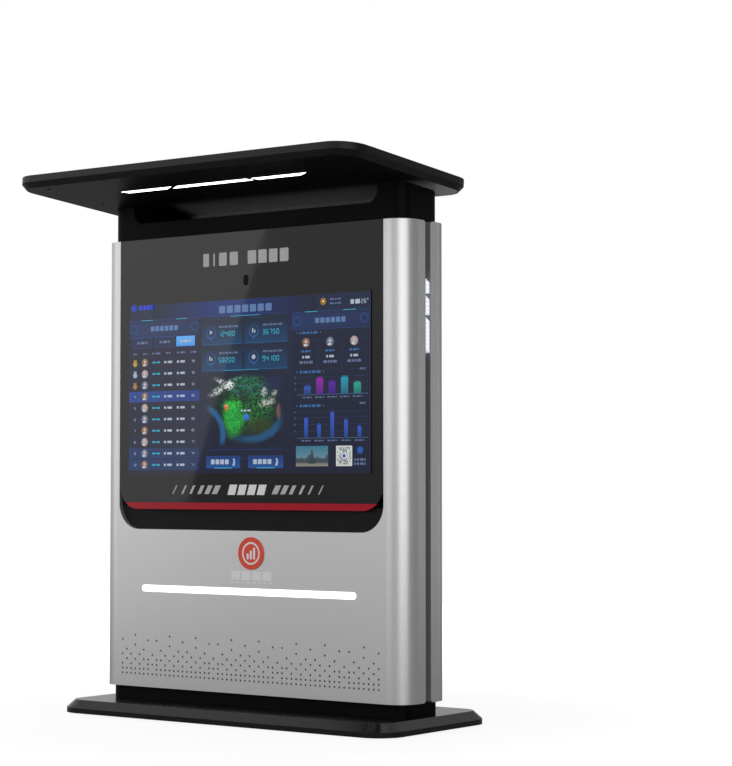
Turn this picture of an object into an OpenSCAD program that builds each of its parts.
// Outdoor information kiosk: a free-standing cabinet with a large touch screen,
// a pitched canopy with lights, a speaker recess, a light bar and a rear service door.
// Origin: middle of the base's underside, on the floor. The screen faces -Y.

/* [Cabinet] */
// Width over the shells
panel_w = 1520; // [1440:10:1840]
// Height of the shells
panel_h = 1800; // [1790:10:2200]
// Depth over both shells
cab_d = 300; // [290:5:380]
// Height of the shells' lower edge above the floor
panel_z = 100; // [90:5:160]
// Outside radius of the shells' upright corners
corner_r = 86; // [60:2:110]
// Sheet thickness of the shells
skin = 3; // [2:0.5:4]
// Width of the groove between the two shells
groove_w = 36; // [30:1:44]
// Depth of that groove
groove_deep = 28; // [22:1:34]
// Radius of the shells' corners beside the groove
flange_r = 12; // [6:1:20]

/* [Core] */
// How far the core's front and back lie inside the shells' faces
core_in = 28; // [24:1:40]
// Radius of the core's upright corners
core_r = 50; // [30:2:60]
// Sheet thickness of the core
core_skin = 3; // [2:0.5:4]
// Side of the square frame tube
tube = 40; // [30:5:50]
// Wall of the frame tube
tube_wall = 3; // [2:0.5:4]
// Height of the shelf of the recess above the shells' top edge
recess_up = 70; // [50:5:90]
// Radius of that recess's lower corners
recess_r = 50; // [30:5:60]
// Width of silver shell on each side of that recess, seen from the front
recess_side = 145; // [130:5:200]

/* [Base] */
// How far the base stands out past the shells at each side
base_out_x = 58; // [40:2:90]
// Depth of the base, front to back
base_d = 700; // [560:10:840]
// Height of the base
base_h = 50; // [44:1:70]
// Height of the base's upright edge under its chamfer
base_edge = 20; // [12:1:26]
// Width of the base's chamfer
base_inset = 34; // [20:1:50]
// Corner radius of the base
base_r = 108; // [80:2:140]
// Sheet thickness of the base's cover
base_skin = 4; // [3:0.5:6]
// Thickness of the ground plate
plate_t = 8; // [6:1:12]
// Diameter of the anchor holes
anchor_d = 18; // [14:1:22]
// Anchor spacing along the width
anchor_x = 1120; // [900:10:1200]
// Anchor spacing along the depth
anchor_y = 160; // [120:5:180]

/* [Canopy] */
// How far the canopy stands out past the shells at each side
canopy_out_x = 77; // [50:1:120]
// How far the canopy's front edge stands ahead of the screen
canopy_front = 450; // [380:10:540]
// Length of the canopy along its slope
canopy_len = 807; // [740:1:960]
// Height of the canopy's front edge above the shells
canopy_up = 228; // [200:1:280]
// Slope of the canopy, front edge high
canopy_tilt = 4.68; // [3:0.1:6]
// Thickness of the canopy
canopy_t = 47; // [42:1:60]
// Height of the canopy's upright edge above its chamfer
canopy_edge = 26.4; // [18:0.2:32]
// Width of the canopy's lower chamfer
canopy_inset = 19; // [10:1:26]
// Corner radius of the canopy
canopy_r = 108; // [80:2:140]
// Sheet thickness of the canopy
canopy_skin = 3; // [2:0.5:4]
// Distance of the light strips behind the canopy's front edge
strip_y = 224; // [180:2:280]
// Width of the light strips
strip_w = 30; // [22:1:55]

/* [Window] */
// Width of silver shell on each side of the glass
side_band = 98; // [80:1:130]
// Height of the glass
glass_h = 1061; // [1000:1:1200]
// Thickness of the glass
glass_t = 6; // [5:0.5:8]
// Radius of the window's lower corners
glass_r = 97; // [60:1:120]
// Height of the red strip under the glass
accent_h = 27; // [16:1:36]
// Height of the speaker recess under the strip
speaker_h = 81; // [60:1:110]
// Radius of that recess's lower corners
cut_r = 104; // [70:1:120]
// Depth of that recess
cut_deep = 20; // [16:1:23]

/* [Display] */
// Width of the picture, a 55 inch wide screen
screen_w = 1209.6; // [1000:0.2:1215]
// Height of the picture
screen_h = 680.4; // [560:0.2:700]
// Height of the picture's middle above the glass's lower edge
screen_up = 455; // [420:1:500]
// Height of the camera window above the picture's middle
camera_up = 413; // [395:1:430]
// Width of the camera window
camera_w = 25; // [16:1:30]
// Height of the camera window
camera_h = 42; // [32:1:50]

/* [Lower front] */
// Length of the light bar
bar_w = 1072; // [700:2:1200]
// Height of the light bar
bar_h = 27; // [18:1:32]
// Height of the light bar above the shells' lower edge
bar_up = 395; // [360:1:430]
// Diameter of the emblem
emblem_d = 126; // [80:2:150]
// Height of the emblem above the shells' lower edge
emblem_up = 544; // [520:1:556]
// Distance of the emblem to the right of the middle
emblem_x = 30; // [-60:2:60]
// Diameter of the small round perforations
dot_d = 8; // [4:0.5:9]
// Spacing of the perforations along the width
dot_dx = 22.86; // [18:0.01:24]
// Spacing of the rows of perforations
dot_dz = 19.2; // [14:0.1:22]
// Height of the lowest row above the shells' lower edge
dot_up = 52; // [40:1:70]

/* [Rear door] */
// Width of the rear door
door_w = 1180; // [900:10:1200]
// Height of the rear door
door_h = 1540; // [1300:10:1560]
// Height of the door's lower edge above the shells' lower edge
door_up = 110; // [90:5:130]
// Gap round the door
door_gap = 4; // [3:0.5:6]
// Depth of the door's folded edges
door_fold = 20; // [14:1:22]
// Radius of the hinge knuckles
knuckle_r = 8; // [6:0.5:10]
// Radius of the hinge pins
pin_r = 3; // [2:0.5:4]
// Radius of the lock barrels
lock_r = 8; // [6:0.5:9]
// Side of the fans
fan_s = 120; // [90:5:140]

/* [Hidden] */
$fn = 64;
clear = 0.3;      // gap between pieces that are only laid together
run = 0.05;       // radial gap of a running fit
eps = 1;          // how far a cut runs past the face it opens

// Cabinet
top_z = panel_z + panel_h;
half_w = panel_w / 2;
front_y = -cab_d / 2;
back_y = cab_d / 2;
core_w = panel_w - 2 * groove_deep;
core_d = cab_d - 2 * core_in;
core_x = core_w / 2;
core_y = core_d / 2;
skirt_top = panel_z + 20;
head_z = top_z - 20;
recess_z = top_z + recess_up;
recess_x = half_w - recess_side;

// Base
base_w = panel_w + 2 * base_out_x;
hatch_w = core_w - 2 * core_skin - 2;
hatch_d = core_d - 2 * core_skin - 2;
hatch_r = core_r - core_skin - 1;
rib_t = 8;
rib_x = hatch_w / 2 + 18;        // middle of the ribs that run front to back
rib_y = hatch_d / 2 + 60;        // middle of the ribs that run along the width
gland_x = -470;
gland_bore = 9;
gland_r = 16;                    // thread of the gland, through the ground plate
gland_nut = 23;
gland_cap = 19;

// Canopy, worked out in its own sloping frame: y runs down the slope, z is square to it
canopy_w = panel_w + 2 * canopy_out_x;
canopy_y = front_y - canopy_front;
canopy_z = top_z + canopy_up;
strips = [
    [[-447, 0], [-185, 0], [-231, 1], [-431, 1]],
    [[-156, 0], [186, 0], [200, 1], [-202, 1]],
    [[214, 0], [476, 0], [430, 1], [229, 1]]
];
strip_low = 0.5;                 // how far the strips' lenses stand below the soffit
tray_h = 12;
tray_lip = 4;                    // how far a tray reaches past its strip
screw_r = 3;
screw_head_r = 5;
screw_head_h = 2;
screw_l = 16;

// Frame
post_in = (core_r - core_skin) * (1 - sqrt(0.5)) + 1.5;   // clears the core's round corners
post_x = core_x - core_skin - post_in - tube / 2;
post_y = core_y - core_skin - post_in - tube / 2;
post_top = soffit_z(core_y) - 22;
rail_y = -post_y - 6;            // front face of the cross rails
rail_d = 30;
rail_len = 2 * (post_x - tube / 2 - clear);
arm_h = canopy_t - 2 * canopy_skin - 2 * clear;
arm_low = -canopy_t + canopy_skin + clear;
arm_end = 40;                    // distance of the arms' ends from the canopy's edges
tie_w = 30;
tie_ys = [100, canopy_len - 100];
screw_ys = [70, 380, canopy_len - 60];

// Window and display
glass_w = panel_w - 2 * side_band;
glass_z = top_z - glass_h;
accent_z = glass_z - accent_h;
cut_z = accent_z - speaker_h;
screen_z = glass_z + screen_up;
camera_z = screen_z + camera_up;
carrier_y = front_y + glass_t + clear;
carrier_t = 3;
carrier_deep = 13;
lcd_edge = 13;
lcd_y = carrier_y + carrier_t + clear;
lcd_t = 10;
chassis_y = lcd_y + lcd_t + clear;
strap_t = 4.7;
chassis_d = rail_y - strap_t - clear - chassis_y;
strap_x = screen_w / 3;
mesh_y = front_y + cut_deep;
mesh_t = 2;
speaker_x = 360;
speaker_z = cut_z + speaker_h / 2;
cone_r = 32;
cone_l = 11;

// Cross rails: under the gear plate, over it, under the display and over it
gear_z = panel_z + 70;
gear_h = cut_z - gear_z - 20;
rail_zs = [gear_z + 30, gear_z + gear_h - 30, screen_z - screen_h / 2 - 54, screen_z + screen_h / 2 + 46];

// Lower front
bar_z = panel_z + bar_up;
emblem_z = panel_z + emblem_up;
dot_z = panel_z + dot_up;
dot_cols = 57;
dot_period = 14;
// For each row from the bottom, which steps away from the middle of a wave carry a hole
dot_rows = [
    [0, 1, 2, 3, 4, 5, 6, 7], [0, 1, 2, 3, 4, 5, 6], [0, 2, 4, 6, 7], [1, 3, 5, 6], [0, 2, 4, 7],
    [1, 5], [3], [0, 6], [3]
];

// Side lights in the grooves
channel_t = 1.7;
side_top = 215;                  // light's top under the shells' top edge
side_parts = [[0, 58], [64, 139], [145, 282]];
side_l = side_parts[2][1];
side_slant = 18;
side_in = 3;                     // how far the lights lie inside the shells' sides
board_t = 1.6;

// Rear door
door_z = panel_z + door_up;
door_mid = door_z + door_h / 2;
hinge_x = -door_w / 2 - door_gap / 2;
hinge_y = back_y + knuckle_r + 0.5;
hinge_zs = [door_z + 170, door_mid, door_z + door_h - 170];
knuckle_l = 30;
leaf_w = 40;
leaf_t = 3;
frame_lap = 18;                  // how far the door frame reaches behind the door's edge
frame_lip = 25;                  // how far it reaches outside the opening
frame_t = 3;
door_r = 12;
slot_h = 8;                      // height of a vent slot
bolt_r = 2.6;
lock_x = door_w / 2 - 45;
lock_zs = [door_mid + 430, door_mid - 430];
lock_wall = 3;
tongue_l = 50;
tongue_t = 3.5;
tongue_y = core_y - 9.5;
fan_z = door_z + door_h - 190;
fan_x = 110;
fan_t = 25;
hub_r = 20;
axle_r = 2;
rotor_t = fan_t - 7;
vent_w = 420;
vent_n = 7;
vent_step = 22;
intake_z = door_z + 190;

// Gear on the plate behind the lower front
gear_y = rail_y + rail_d + clear;
gear_t = 4;
gear_w = rail_len - 140;
gear_face = gear_y + gear_t + clear;
row_z = gear_z + gear_h - 110;   // middle of the upper row of gear
low_z = gear_z + 150;            // middle of the lower row of gear
computer = [220, 44, 190];
computer_x = -410;
button_r = 6;
button_x = computer_x + 80;
button_z = row_z - computer[2] / 2 + 22;
supply = [240, 50, 110];
supply_x = -120;
amp = [150, 40, 100];
amp_x = 150;
router = [180, 32, 120];
router_x = 400;
breaker = [100, 60, 120];
breaker_x = -460;
toggle_r = 7;
toggle_w = 12;
toggle_up = 25;                  // the lever's angle above level when the switch is on
toggle_y = gear_face + breaker[1] - 4;
block_x = -240;
block_n = 12;
lead_r = 4;

// Height of the soffit's underside over a place y in front of or behind the middle
function soffit_z(y) = canopy_z - canopy_t / cos(canopy_tilt) - (y - canopy_y) * tan(canopy_tilt);

// ---- Shared shapes ----

module rounded(w, d, r) {
    square([w - 2 * r, d], center = true);
    square([w, d - 2 * r], center = true);
    for (x = [-1, 1], y = [-1, 1])
        translate([x * (w / 2 - r), y * (d / 2 - r)]) circle(r);
}

module trapezoid(bottom, top, h) {
    polygon([[-bottom / 2, 0], [bottom / 2, 0], [top / 2, h], [-top / 2, h]]);
}

// A flat slab with round corners, an upright edge and a chamfer above it
module chamfered(w, d, r, edge, h, inset) {
    linear_extrude(edge) rounded(w, d, r);
    translate([0, 0, edge]) {
        rotate([90, 0, 90]) linear_extrude(w - 2 * r, center = true) trapezoid(d, d - 2 * inset, h - edge);
        rotate([90, 0, 0]) linear_extrude(d - 2 * r, center = true) trapezoid(w, w - 2 * inset, h - edge);
        for (x = [-1, 1], y = [-1, 1])
            translate([x * (w / 2 - r), y * (d / 2 - r), 0]) cylinder(h - edge, r, r - inset);
    }
}

// A box given by its middle along x, its low corner along y and its middle along z
module block(x, y, z, size) {
    translate([x - size[0] / 2, y, z - size[2] / 2]) cube(size);
}

// A round bar along y that starts at y
module bar_y(x, y, z, r, l) {
    translate([x, y, z]) rotate([-90, 0, 0]) cylinder(l, r, r);
}

// Draws an x-z outline as a plate from y0 to y1
module plate(y0, y1) {
    translate([0, y1, 0]) rotate([90, 0, 0]) linear_extrude(y1 - y0) children();
}

// Draws a y-z outline as a bar across the middle, w long
module across(w) {
    rotate([90, 0, 90]) linear_extrude(w, center = true) children();
}

// Window outline: straight sides, open-ended top, round lower corners
module window(w, z0, z1, r) {
    translate([-w / 2, z0 + r]) square([w, z1 - z0 - r]);
    translate([-w / 2 + r, z0]) square([w - 2 * r, z1 - z0]);
    for (x = [-1, 1]) translate([x * (w / 2 - r), z0 + r]) circle(r);
}

module pill(w, h) {
    r = min(w, h) / 2;
    square([w > h ? w - h : w, w > h ? h : h - w], center = true);
    for (s = [-1, 1]) translate(w > h ? [s * (w / 2 - r), 0] : [0, s * (h / 2 - r)]) circle(r);
}

module tube_z(x, y, z0, z1) {
    translate([x, y, z0]) linear_extrude(z1 - z0) difference() {
        square(tube, center = true);
        square(tube - 2 * tube_wall, center = true);
    }
}

// Places children in the canopy's sloping frame, top face at z = 0
module on_canopy() {
    translate([0, canopy_y, canopy_z]) rotate([-canopy_tilt, 0, 0]) children();
}

// Everything above the soffit's underside
module over_soffit() {
    on_canopy() translate([-canopy_w, -200, -canopy_t - clear]) cube([2 * canopy_w, 1600, 600]);
}

// ---- Base ----

module ground_plate() {
    inside = base_skin + 2;
    color("dimgray") difference() {
        linear_extrude(plate_t) rounded(base_w - 2 * inside, base_d - 2 * inside, base_r - inside);
        for (x = [-1, 1], y = [-1, 1])
            translate([x * anchor_x / 2, y * anchor_y / 2, -eps]) cylinder(plate_t + 2 * eps, d = anchor_d);
        translate([gland_x, 0, -eps]) cylinder(plate_t + 2 * eps, r = gland_r + clear);
    }
}

// Four ribs on the ground plate that carry the cover
module base_ribs() {
    top = base_h - base_skin - clear;
    cross_l = 2 * (rib_y - rib_t / 2 - clear);
    color("dimgray") for (s = [-1, 1]) {
        block(0, s * rib_y - rib_t / 2, (plate_t + top) / 2, [base_w - 2 * base_r, rib_t, top - plate_t]);
        block(s * rib_x, -cross_l / 2, (plate_t + top) / 2, [rib_t, cross_l, top - plate_t]);
    }
}

module base_cover() {
    color("#1b1b1d") difference() {
        chamfered(base_w, base_d, base_r, base_edge, base_h, base_inset);
        translate([0, 0, -eps]) linear_extrude(2 * eps) rounded(
            base_w - 2 * base_skin, base_d - 2 * base_skin, base_r - base_skin);
        chamfered(base_w - 2 * base_skin, base_d - 2 * base_skin, base_r - base_skin,
            base_edge - base_skin / 2, base_h - base_skin, base_inset);
        translate([0, 0, base_h - base_skin - eps]) linear_extrude(base_skin + 2 * eps)
            rounded(hatch_w, hatch_d, hatch_r);
    }
}

module cable_gland() {
    low = 2;
    nut_h = 7;
    cap_h = 9;
    cap_z = plate_t + 2 * nut_h;
    color("#2a2a2c") translate([gland_x, 0, 0]) difference() {
        union() {
            translate([0, 0, low]) cylinder(cap_z - low + eps, r = gland_r);
            translate([0, 0, plate_t + clear]) cylinder(nut_h, r = gland_nut, $fn = 6);
            translate([0, 0, cap_z]) cylinder(cap_h, r = gland_cap, $fn = 6);
        }
        cylinder(cap_z + cap_h + eps, r = gland_bore);
    }
}

// ---- Frame and core ----

module uprights() {
    color("dimgray") for (x = [-1, 1], y = [-1, 1])
        tube_z(x * post_x, y * post_y, plate_t, post_top);
}

module cross_rails() {
    color("dimgray") for (z = rail_zs) difference() {
        block(0, rail_y, z, [rail_len, rail_d, tube]);
        block(0, rail_y + tube_wall, z, [rail_len + eps, rail_d - 2 * tube_wall, tube - 2 * tube_wall]);
    }
}

module core_ring(z0, z1) {
    translate([0, 0, z0]) linear_extrude(z1 - z0) difference() {
        rounded(core_w, core_d, core_r);
        rounded(core_w - 2 * core_skin, core_d - 2 * core_skin, core_r - core_skin);
    }
}

module plinth_skirt() {
    color("#111113") core_ring(base_h, skirt_top);
}

module side_walls() {
    lip = 14;                        // width of the folds at the wall's two edges
    color("#1c1c1e") for (s = [-1, 1]) scale([s, 1, 1])
        translate([core_x - core_skin, 0, skirt_top + clear]) linear_extrude(head_z - skirt_top - 2 * clear) {
            translate([0, -core_y + core_r]) square([core_skin, core_d - 2 * core_r]);
            for (y = [-1, 1])
                translate([-lip, y * (core_y - core_r - core_skin / 2) - core_skin / 2])
                    square([lip + eps, core_skin]);
        }
}

module head_box() {
    color("#111113") difference() {
        core_ring(head_z, canopy_z);
        plate(-core_y - eps, -core_y + core_skin + eps)
            window(2 * recess_x, recess_z, canopy_z + eps, recess_r);
        over_soffit();
    }
}

module head_cove() {
    wall = 2;
    bend = 60;
    y1 = core_y - core_skin - clear;
    color("#151517") difference() {
        block(0, -y1, (recess_z + canopy_z) / 2 - wall, [2 * (recess_x + wall), 2 * y1, canopy_z - recess_z]);
        across(2 * recess_x) difference() {
            translate([-y1 - eps, recess_z]) square([2 * y1 + eps - wall, canopy_z - recess_z]);
            translate([y1 - wall - bend, recess_z - eps]) difference() {
                square([bend + eps, bend + eps]);
                translate([0, bend + eps]) circle(bend);
            }
        }
        over_soffit();
    }
}

// ---- Canopy ----

module canopy_shape(t) {
    translate([0, canopy_len / 2, -t]) mirror([0, 0, 1])
        chamfered(canopy_w - 2 * t, canopy_len - 2 * t, canopy_r - t, canopy_edge - t,
            canopy_t - t + (t > 0 ? eps : 0), canopy_inset + (t > 0 ? eps : 0));
}

module canopy_top() {
    color("#2b2b2d") on_canopy() difference() {
        canopy_shape(0);
        canopy_shape(canopy_skin);
    }
}

module canopy_arms() {
    color("dimgray") difference() {
        union() {
            on_canopy() {
                for (s = [-1, 1]) translate([s * post_x - tube / 2, arm_end, arm_low])
                    cube([tube, canopy_len - 2 * arm_end, arm_h]);
                for (y = tie_ys)
                    translate([-post_x, y - tie_w / 2, arm_low]) cube([2 * post_x, tie_w, arm_h]);
            }
            difference() {
                for (s = [-1, 1])
                    translate([s * post_x - tube / 2, -post_y - tube / 2, post_top])
                        cube([tube, 2 * post_y + tube, canopy_z - post_top]);
                on_canopy() translate([-canopy_w, -200, arm_low + arm_h / 2]) cube([2 * canopy_w, 1600, 600]);
            }
        }
        on_canopy() for (s = [-1, 1], y = screw_ys)
            translate([s * post_x, y, arm_low - eps]) cylinder(screw_l + eps, r = screw_r + clear);
    }
}

// Outline of one strip, larger by grow; its slanted ends need more, to stay as far apart
module strip_outline(p, grow) {
    end_grow = 3 * grow;
    dx = [-end_grow, end_grow, end_grow, -end_grow];
    dy = [-grow, -grow, grow, grow];
    polygon([for (i = [0:3]) [p[i][0] + dx[i], strip_y + p[i][1] * strip_w + dy[i]]]);
}

module canopy_soffit() {
    in = canopy_skin + canopy_inset + 0.5;
    slot_x = tube + 4;
    slot_y = 2 * post_y + tube + 16;
    slot_mid = canopy_front + cab_d / 2;
    color("#242426") on_canopy() difference() {
        translate([0, canopy_len / 2, -canopy_t]) linear_extrude(canopy_skin)
            rounded(canopy_w - 2 * in, canopy_len - 2 * in, canopy_r - in);
        for (p = strips) translate([0, 0, -canopy_t - eps]) linear_extrude(canopy_skin + 2 * eps)
            strip_outline(p, clear);
        for (s = [-1, 1]) {
            translate([s * post_x - slot_x / 2, slot_mid - slot_y / 2, -canopy_t - eps])
                cube([slot_x, slot_y, canopy_skin + 2 * eps]);
            for (y = screw_ys) translate([s * post_x, y, -canopy_t - eps])
                cylinder(canopy_skin + 2 * eps, r = screw_r + clear);
        }
    }
}

module soffit_lights() {
    color("white") on_canopy() for (p = strips)
        translate([0, 0, -canopy_t - strip_low]) linear_extrude(canopy_skin + strip_low) strip_outline(p, 0);
}

module soffit_light_trays() {
    color("silver") on_canopy() for (p = strips)
        translate([0, 0, -canopy_t + canopy_skin + clear]) linear_extrude(tray_h) strip_outline(p, tray_lip);
}

module canopy_screws() {
    color("#39393b") on_canopy() for (s = [-1, 1], y = screw_ys)
        translate([s * post_x, y, -canopy_t]) {
            translate([0, 0, -screw_head_h - clear / 3]) cylinder(screw_head_h, r = screw_head_r);
            translate([0, 0, -eps]) cylinder(screw_l, r = screw_r);
        }
}

// ---- Shells ----

// Outline seen from the side of one half: from beyond the face to the groove, groove corners rounded
module half_side(inset) {
    r = flange_r - inset;
    y0 = front_y - 10 * eps;
    y1 = -groove_w / 2 - inset;
    z0 = panel_z + inset;
    z1 = top_z - inset;
    translate([y0, z0]) square([y1 - r - y0, z1 - z0]);
    translate([y0, z0 + r]) square([y1 - y0, z1 - z0 - 2 * r]);
    for (z = [z0 + r, z1 - r]) translate([y1 - r, z]) circle(r);
}

// One folded half: face, round corners, groove flanges and upper and lower edges
module half_shell() {
    difference() {
        intersection() {
            translate([0, 0, panel_z]) linear_extrude(panel_h) rounded(panel_w, cab_d, corner_r);
            across(panel_w + 2 * eps) half_side(0);
        }
        intersection() {
            translate([0, 0, panel_z]) linear_extrude(panel_h)
                rounded(panel_w - 2 * skin, cab_d - 2 * skin, corner_r - skin);
            across(panel_w + 2 * eps) half_side(skin);
        }
        translate([0, 0, panel_z - eps]) linear_extrude(panel_h + 2 * eps)
            rounded(core_w + 2 * clear, core_d + 2 * clear, core_r + clear);
    }
}

module dots() {
    for (c = [0:dot_cols - 1], row = [0:len(dot_rows) - 1]) {
        step = min(c % dot_period, dot_period - c % dot_period);
        if (len(search(step, dot_rows[row])) > 0)
            bar_y(
                (c - (dot_cols - 1) / 2) * dot_dx, front_y - eps,
                dot_z + row * dot_dz, dot_d / 2, skin + 2 * eps
            );
    }
}

module front_shell() {
    fold = front_y + cut_deep - clear;
    color("silver") difference() {
        union() {
            half_shell();
            plate(front_y + skin / 2, fold) difference() {
                window(glass_w + 2 * skin, cut_z - skin, top_z, cut_r + skin);
                window(glass_w, cut_z, top_z + eps, cut_r);
            }
        }
        plate(front_y - eps, fold) window(glass_w, cut_z, top_z + eps, cut_r);
        plate(front_y - eps, front_y + skin + eps) translate([0, bar_z]) pill(bar_w, bar_h);
        dots();
    }
}

module rear_shell() {
    color("silver") difference() {
        mirror([0, 1, 0]) half_shell();
        plate(back_y - skin - eps, back_y + eps) translate([0, door_mid])
            rounded(door_w + 2 * door_gap, door_h + 2 * door_gap, door_r + door_gap);
    }
}

module groove_channels() {
    end_gap = 4;
    w = groove_w - 2 * clear;
    color("#3c3c3e") for (s = [-1, 1]) scale([s, 1, 1])
        translate([core_x + clear, 0, panel_z + end_gap]) linear_extrude(panel_h - 2 * end_gap) difference() {
            translate([0, -w / 2]) square([groove_deep - 2 * clear, w]);
            translate([channel_t, -w / 2 + channel_t]) square([groove_deep, w - 2 * channel_t]);
        }
}

module side_light_boards() {
    w = groove_w - 2 * channel_t - 4;
    x = core_x + 2 * clear + channel_t;
    color("#dfe6df") for (s = [-1, 1]) scale([s, 1, 1])
        translate([x, -w / 2, top_z - side_top - side_l]) cube([board_t, w, side_l]);
}

module side_lights() {
    w = groove_w - 2 * channel_t - 2;
    x0 = core_x + 3 * clear + channel_t + board_t;
    color("#e8ecff") for (s = [-1, 1], p = side_parts) scale([s, 1, 1])
        translate([x0, 0, top_z - side_top]) rotate([90, 0, 90]) linear_extrude(half_w - side_in - x0)
            polygon([
                [-w / 2, -p[0]], [w / 2, -p[0] - side_slant],
                [w / 2, -p[1]], [-w / 2, -p[1] + side_slant]
            ]);
}

// ---- Window and display ----

module touch_glass() {
    color("#1a1a1c") difference() {
        plate(front_y, front_y + glass_t) intersection() {
            window(glass_w - 2, accent_z, top_z, glass_r);
            translate([-glass_w, glass_z]) square([2 * glass_w, glass_h]);
        }
        plate(front_y - eps, front_y + glass_t + eps) translate([0, camera_z])
            pill(camera_w + 2 * clear, camera_h + 2 * clear);
    }
}

module accent_strip() {
    color("#b01e2e") plate(front_y, front_y + glass_t) intersection() {
        window(glass_w - 2, accent_z, top_z, glass_r);
        translate([-glass_w, accent_z - eps]) square([2 * glass_w, accent_h + eps - clear]);
    }
}

module glass_carrier() {
    edge = 3;
    color("#19191b") difference() {
        plate(carrier_y, carrier_y + carrier_deep)
            window(glass_w - 2 * edge, accent_z + edge, top_z - edge, glass_r - edge);
        plate(carrier_y + carrier_t, carrier_y + carrier_deep + eps)
            window(glass_w - 4 * edge, accent_z + 2 * edge, top_z - 2 * edge, glass_r - 2 * edge);
        plate(carrier_y - eps, carrier_y + carrier_t + eps) {
            translate([0, screen_z]) square([screen_w + 4, screen_h + 4], center = true);
            translate([0, camera_z]) pill(camera_w + 8, camera_h + 8);
        }
    }
}

module lcd_panel() {
    color("#0c1630") block(0, lcd_y, screen_z, [screen_w + 2 * lcd_edge, lcd_t, screen_h + 2 * lcd_edge]);
}

module lcd_chassis() {
    deep = 6;
    pitch = screen_w / 13;
    color("silver") difference() {
        block(0, chassis_y, screen_z, [screen_w - 10, chassis_d, screen_h - 20]);
        for (i = [-4:4]) block(
            i * pitch, chassis_y + chassis_d - deep, screen_z + screen_h / 4,
            [0.45 * pitch, deep + eps, screen_h / 4]
        );
    }
}

module display_straps() {
    z0 = rail_zs[2] - tube / 2;
    z1 = rail_zs[3] + tube / 2;
    color("dimgray") for (s = [-1, 1])
        block(s * strap_x, rail_y - strap_t, (z0 + z1) / 2, [60, strap_t, z1 - z0]);
}

module camera_window() {
    color("black") plate(front_y - 0.3, front_y + glass_t) translate([0, camera_z]) pill(camera_w, camera_h);
}

module camera_module() {
    y = front_y + glass_t + clear;
    lens_r = 10;
    lens_l = 8;
    case = [90, 12, 50];
    ear = [24, 4, 20];
    color("#303236") {
        block(0, y + lens_l, camera_z, case);
        bar_y(0, y, camera_z, lens_r, lens_l + eps);
        for (s = [-1, 1])
            block(s * (case[0] / 2 + 7), carrier_y + carrier_t + clear, camera_z, ear);
    }
}

module speaker_mesh() {
    wide = glass_w + 2 * skin;
    color("#161616") plate(mesh_y, mesh_y + mesh_t) intersection() {
        window(wide, cut_z - skin, top_z, cut_r + skin);
        translate([-wide / 2, cut_z - skin]) square([wide, speaker_h + accent_h / 2 + skin]);
    }
}

// Basket, magnet and flange of each speaker
module speaker_frames() {
    y = mesh_y + mesh_t + clear;
    basket_l = cone_l + 3;
    magnet_r = 24;
    magnet_l = 20;
    color("#26262a") for (s = [-1, 1]) difference() {
        union() {
            block(s * speaker_x, y, speaker_z, [150, 4, speaker_h - 3]);
            bar_y(s * speaker_x, y, speaker_z, cone_r + 4, basket_l);
            bar_y(s * speaker_x, y + basket_l, speaker_z, magnet_r, magnet_l);
        }
        bar_y(s * speaker_x, y - eps, speaker_z, cone_r, cone_l + 1 + eps);
    }
}

module speaker_cones() {
    paper = 3;
    color("#44444a") for (s = [-1, 1])
        translate([s * speaker_x, mesh_y + mesh_t + clear + 1, speaker_z]) rotate([-90, 0, 0]) difference() {
            cylinder(cone_l - clear, cone_r - clear, cone_r / 3 + paper / 2);
            translate([0, 0, -0.01]) cylinder(cone_l - paper, cone_r - paper, cone_r / 3 - paper / 2);
        }
}

// ---- Lower front ----

module light_bar_lens() {
    color("white") plate(front_y - 1, front_y + skin + 2) translate([0, bar_z])
        pill(bar_w - 2 * clear, bar_h - 2 * clear);
}

module light_bar_tray() {
    y0 = front_y + skin + clear;
    rim = 8;
    deep = 16;
    floor_t = 4;
    color("#c9ccd0") difference() {
        plate(y0, y0 + deep) translate([0, bar_z]) pill(bar_w + 2 * rim, bar_h + 2 * rim);
        plate(y0 - eps, y0 + 2) translate([0, bar_z]) pill(bar_w + 1, bar_h + 1);
        plate(y0, y0 + deep - floor_t) translate([0, bar_z]) pill(bar_w - rim, bar_h - rim);
    }
}

module emblem() {
    disc_t = 2.5;
    rim_t = 3.5;
    rim_w = 4;
    color("#e0482c") difference() {
        bar_y(emblem_x, front_y - rim_t, emblem_z, emblem_d / 2, rim_t);
        bar_y(emblem_x, front_y - rim_t - eps, emblem_z, emblem_d / 2 - rim_w, rim_t - disc_t + eps);
    }
}

// ---- Rear door ----

module door_frame() {
    opening = [door_w + 2 * door_gap, door_h + 2 * door_gap];
    outer = opening + 2 * frame_lip * [1, 1];
    inner = opening - 2 * frame_lap * [1, 1];
    color("#232325") {
        plate(core_y - frame_t, core_y) translate([0, door_mid]) difference() {
            rounded(outer[0], outer[1], 14);
            rounded(inner[0], inner[1], 6);
        }
        plate(core_y - frame_t / 2, back_y - skin - clear) translate([0, door_mid]) difference() {
            rounded(outer[0], outer[1], 14);
            rounded(outer[0] - 2 * frame_t, outer[1] - 2 * frame_t, 14 - frame_t);
        }
    }
}

module vent_slots(z) {
    slot = [vent_w, skin + 2 * eps, slot_h];
    for (i = [0:vent_n - 1]) block(0, back_y - skin - eps, z + (i - (vent_n - 1) / 2) * vent_step, slot);
}

module rear_door() {
    color("silver") difference() {
        plate(back_y - door_fold, back_y) translate([0, door_mid]) rounded(door_w, door_h, door_r);
        plate(back_y - door_fold - eps, back_y - skin) translate([0, door_mid])
            rounded(door_w - 2 * skin, door_h - 2 * skin, door_r - skin);
        vent_slots(fan_z);
        vent_slots(intake_z);
        for (z = lock_zs) bar_y(lock_x, back_y - skin - eps, z, lock_r + lock_wall + clear, skin + 2 * eps);
    }
}

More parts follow.
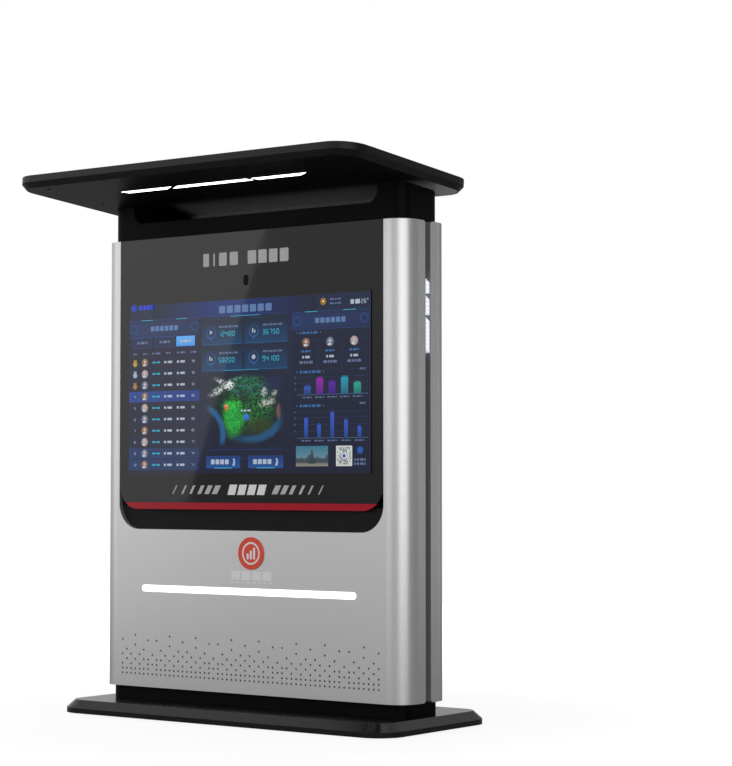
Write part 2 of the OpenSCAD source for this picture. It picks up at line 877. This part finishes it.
module door_gasket() {
    y0 = core_y + 2 * clear;
    wide = 8;
    color("#101010") plate(y0, back_y - door_fold - clear) translate([0, door_mid]) difference() {
        rounded(door_w - 1, door_h - 1, door_r);
        rounded(door_w - 1 - 2 * wide, door_h - 1 - 2 * wide, door_r - wide + 1);
    }
}

// One leaf and its knuckles; side -1 is the frame's leaf, side 1 the door's
module leaf(side, zs) {
    reach = knuckle_r + 1;
    x0 = side < 0 ? hinge_x - leaf_w : hinge_x + reach;
    difference() {
        union() {
            translate([x0, back_y, -1.5 * knuckle_l]) cube([leaf_w - reach, leaf_t, 3 * knuckle_l]);
            for (z = zs) {
                translate([hinge_x, hinge_y, z + clear / 2]) cylinder(knuckle_l - clear, r = knuckle_r);
                translate([side < 0 ? hinge_x - reach - eps : hinge_x, back_y, z + clear / 2])
                    cube([reach + eps, leaf_t, knuckle_l - clear]);
            }
        }
        translate([hinge_x, hinge_y, -2 * knuckle_l]) cylinder(4 * knuckle_l, r = pin_r + run);
        for (z = [-1, 1])
            bar_y(hinge_x + side * 0.67 * leaf_w, back_y - eps, z * knuckle_l, bolt_r, leaf_t + 2 * eps);
    }
}

module hinge_leaves_frame() {
    color("#8d9094") for (z = hinge_zs) translate([0, 0, z]) leaf(-1, [-1.5 * knuckle_l, 0.5 * knuckle_l]);
}

module hinge_leaves_door() {
    color("#8d9094") for (z = hinge_zs) translate([0, 0, z]) leaf(1, [-0.5 * knuckle_l]);
}

module hinge_pins() {
    color("#b8bcc0") for (z = hinge_zs) translate([hinge_x, hinge_y, z]) {
        translate([0, 0, -1.5 * knuckle_l]) cylinder(3 * knuckle_l + 1, r = pin_r);
        translate([0, 0, 1.5 * knuckle_l]) cylinder(3, r = pin_r + 2);
    }
}

// A sloping hood over each vent slot
module vent_hoods() {
    out = 9;
    thick = 2.5;
    top = slot_h / 2 + 5;
    low = -slot_h / 2 - 2;
    color("silver") for (z = [fan_z, intake_z], i = [0:vent_n - 1])
        translate([0, 0, z + (i - (vent_n - 1) / 2) * vent_step]) across(vent_w + 16)
            polygon([[back_y, top], [back_y, top - 3.5], [back_y + out - thick, low], [back_y + out, low]]);
}

module intake_filter() {
    rim = 10;
    deep = 14;
    size = [vent_w + 3 * rim, deep, vent_n * vent_step + 2 * rim];
    y0 = back_y - skin - clear - deep;
    color("#33373b") difference() {
        block(0, y0, intake_z, size);
        block(0, y0 - eps, intake_z, size - [2 * rim, deep / 2, 2 * rim]);
    }
}

module lock_housings() {
    y0 = core_y - 4;
    nut_t = 6;
    rose_t = 2.5;
    color("#a7abb0") for (z = lock_zs) difference() {
        union() {
            bar_y(lock_x, y0, z, lock_r + lock_wall, back_y - y0 + 1);
            bar_y(lock_x, back_y, z, lock_r + 7, rose_t);
            translate([lock_x, back_y - skin - clear, z]) rotate([90, 0, 0])
                cylinder(nut_t, r = lock_r + 8, $fn = 6);
        }
        bar_y(lock_x, y0 - eps, z, lock_r + run, back_y + rose_t + 2 * eps - y0);
    }
}

// Barrel with its key slot and the tongue that turns behind the door frame
module cam_lock(z) {
    color("#c9ccd0") difference() {
        union() {
            bar_y(lock_x, tongue_y, z, lock_r, back_y + 3 - tongue_y);
            bar_y(lock_x, tongue_y, z, lock_r + 2, tongue_t);
            plate(tongue_y, tongue_y + tongue_t) translate([lock_x, z]) {
                translate([-lock_r, 0]) square([2 * lock_r, tongue_l - lock_r]);
                translate([0, tongue_l - lock_r]) circle(lock_r);
            }
        }
        block(lock_x, back_y + 0.5, z, [1.6, 4, lock_r]);
    }
}

module upper_lock() { cam_lock(lock_zs[0]); }
module lower_lock() { cam_lock(lock_zs[1]); }

module fan_frames() {
    bore = fan_s / 2 - 3;
    corner = fan_s / 2 - 8;
    y0 = back_y - skin - clear - fan_t;
    color("#1d1d1f") for (s = [-1, 1]) difference() {
        union() {
            difference() {
                plate(y0, y0 + fan_t) translate([s * fan_x, fan_z]) rounded(fan_s, fan_s, 6);
                bar_y(s * fan_x, y0 - eps, fan_z, bore, fan_t + 2 * eps);
            }
            for (a = [0:90:270]) translate([s * fan_x, y0, fan_z]) rotate([0, a, 0])
                translate([-3, 0, 0]) cube([6, 3, bore + 1]);
            bar_y(s * fan_x, y0, fan_z, hub_r, 3);
            bar_y(s * fan_x, y0, fan_z, axle_r, fan_t - 4);
        }
        for (x = [-1, 1], z = [-1, 1])
            bar_y(s * fan_x + x * corner, y0 - eps, fan_z + z * corner, bolt_r, fan_t + 2 * eps);
    }
}

module fan_rotor(s) {
    y0 = back_y - skin - clear - fan_t + 3.5;
    tip = fan_s / 2 - 5;
    blades = 7;
    blade_w = 22;
    pitch = 38;
    color("#2c2c30") translate([s * fan_x, y0, fan_z]) rotate([-90, 0, 0]) difference() {
        union() {
            cylinder(rotor_t, r = hub_r);
            intersection() {
                cylinder(rotor_t, r = tip);
                for (i = [0:blades - 1]) rotate([0, 0, i * 360 / blades])
                    translate([0, 0, rotor_t / 2]) rotate([pitch, 0, 0])
                        translate([hub_r - 2, -blade_w / 2, -1]) cube([tip, blade_w, 2]);
            }
        }
        translate([0, 0, -eps]) cylinder(fan_t, r = axle_r + run);
    }
}

module fan_rotor_left() { fan_rotor(-1); }
module fan_rotor_right() { fan_rotor(1); }

// ---- Gear ----

module gear_plate() {
    color("#b9bcbf") block(0, gear_y, gear_z + gear_h / 2, [gear_w, gear_t, gear_h]);
}

module computer() {
    face_y = gear_face + computer[1];
    fin = [4, 15, computer[2] - 44];
    port = [18, 16, 12];
    color("#3b3e42") difference() {
        union() {
            block(computer_x, gear_face, row_z, computer);
            for (i = [-6:6]) block(computer_x + i * 16, face_y - eps, row_z + 18, fin);
        }
        bar_y(button_x, face_y - 12, button_z, button_r + clear, 12 + eps);
        for (i = [-2:2]) block(computer_x - 34 + i * 28, gear_face + 12, row_z - computer[2] / 2, port);
    }
}

module power_button() {
    color("#7f8488") bar_y(button_x, gear_face + computer[1] - 9, button_z, button_r, 11.5);
}

module power_supply() {
    color("#c4c7ca") difference() {
        block(supply_x, gear_face, row_z, supply);
        for (i = [-7:7]) block(supply_x + i * 14, gear_face + supply[1] - 3, row_z, [5, 4, supply[2] - 40]);
    }
}

module amplifier() {
    color("#2f3134") {
        block(amp_x, gear_face, row_z, [amp[0], amp[1] - 12, amp[2]]);
        for (i = [-4:4]) block(amp_x + i * 16, gear_face, row_z, [4, amp[1], amp[2]]);
    }
}

module router() {
    z = row_z - 20;
    aerial_l = 78;
    color("#e3e5e6") {
        block(router_x, gear_face, z, router);
        for (i = [-1:1])
            translate([router_x + i * 70, gear_face + router[1] / 2, z + router[2] / 2 - eps]) {
                cylinder(12, r = 6);
                cylinder(aerial_l, r = 4);
            }
    }
}

module breaker_box() {
    deep = 14;
    color("#d9dadb") difference() {
        block(breaker_x, gear_face, low_z, breaker);
        block(breaker_x, gear_face + breaker[1] - deep, low_z, [toggle_w + 2 * clear, deep + eps, 34]);
        translate([breaker_x, toggle_y, low_z]) rotate([0, 90, 0])
            cylinder(toggle_w + 10, r = axle_r + run, center = true);
    }
}

module breaker_toggle() {
    color("#27292b") translate([breaker_x, toggle_y, low_z]) {
        rotate([0, 90, 0]) cylinder(toggle_w, r = toggle_r, center = true);
        rotate([0, 90, 0]) cylinder(toggle_w + 9, r = axle_r, center = true);
        rotate([toggle_up, 0, 0]) translate([1 - toggle_w / 2, 0, -2]) cube([toggle_w - 2, 16, 4]);
    }
}

// A mounting rail with clamps side by side
module terminal_block() {
    w = 14;
    rail_t = 5;
    color("#9aa0a4") {
        block(block_x, gear_face, low_z, [block_n * w + 40, rail_t, 35]);
        for (i = [0:block_n - 1])
            block(block_x + (i - (block_n - 1) / 2) * w, gear_face + rail_t - eps, low_z, [w - 1, 34, 52]);
    }
}

// A lead clipped along straight runs with round elbows
module lead(points) {
    for (i = [0:len(points) - 2]) {
        d = points[i + 1] - points[i];
        translate(points[i]) rotate([0, acos(d[2] / norm(d)), atan2(d[1], d[0])])
            cylinder(norm(d), r = lead_r);
        if (i > 0) translate(points[i]) sphere(lead_r);
    }
}

module leads() {
    up = rail_zs[2] + tube / 2 + 14;
    mid = gear_face + 20;
    picture_y = chassis_y + chassis_d / 2;
    picture_z = screen_z - screen_h / 2 + 10;
    color("#17181a") {
        lead([
            [computer_x - 40, mid, row_z + computer[2] / 2], [computer_x - 40, mid, up],
            [computer_x - 40, picture_y, up], [computer_x - 40, picture_y, picture_z]
        ]);
        lead([
            [supply_x, mid, row_z - supply[2] / 2], [supply_x, mid, low_z + 80],
            [breaker_x, mid, low_z + 80], [breaker_x, mid, low_z + breaker[2] / 2]
        ]);
        lead([
            [supply_x + supply[0] / 2, mid, row_z], [amp_x - amp[0] / 2, mid, row_z]
        ]);
    }
}

module plate_screws() {
    color("#9da1a5") for (x = [-1, 1], z = [rail_zs[0], rail_zs[1]])
        bar_y(x * (gear_w / 2 - 30), gear_y + gear_t, z, 6, 4);
}

ground_plate();
base_ribs();
base_cover();
cable_gland();
uprights();
cross_rails();
plinth_skirt();
side_walls();
head_box();
head_cove();
canopy_arms();
canopy_top();
canopy_soffit();
soffit_lights();
soffit_light_trays();
canopy_screws();
front_shell();
rear_shell();
groove_channels();
side_lights();
side_light_boards();
touch_glass();
accent_strip();
glass_carrier();
lcd_panel();
lcd_chassis();
display_straps();
camera_module();
camera_window();
speaker_mesh();
speaker_frames();
speaker_cones();
light_bar_lens();
light_bar_tray();
emblem();
door_frame();
rear_door();
door_gasket();
hinge_leaves_frame();
hinge_leaves_door();
hinge_pins();
vent_hoods();
intake_filter();
lock_housings();
upper_lock();
lower_lock();
fan_frames();
fan_rotor_left();
fan_rotor_right();
gear_plate();
computer();
power_button();
power_supply();
breaker_box();
breaker_toggle();
terminal_block();
amplifier();
router();
leads();
plate_screws();
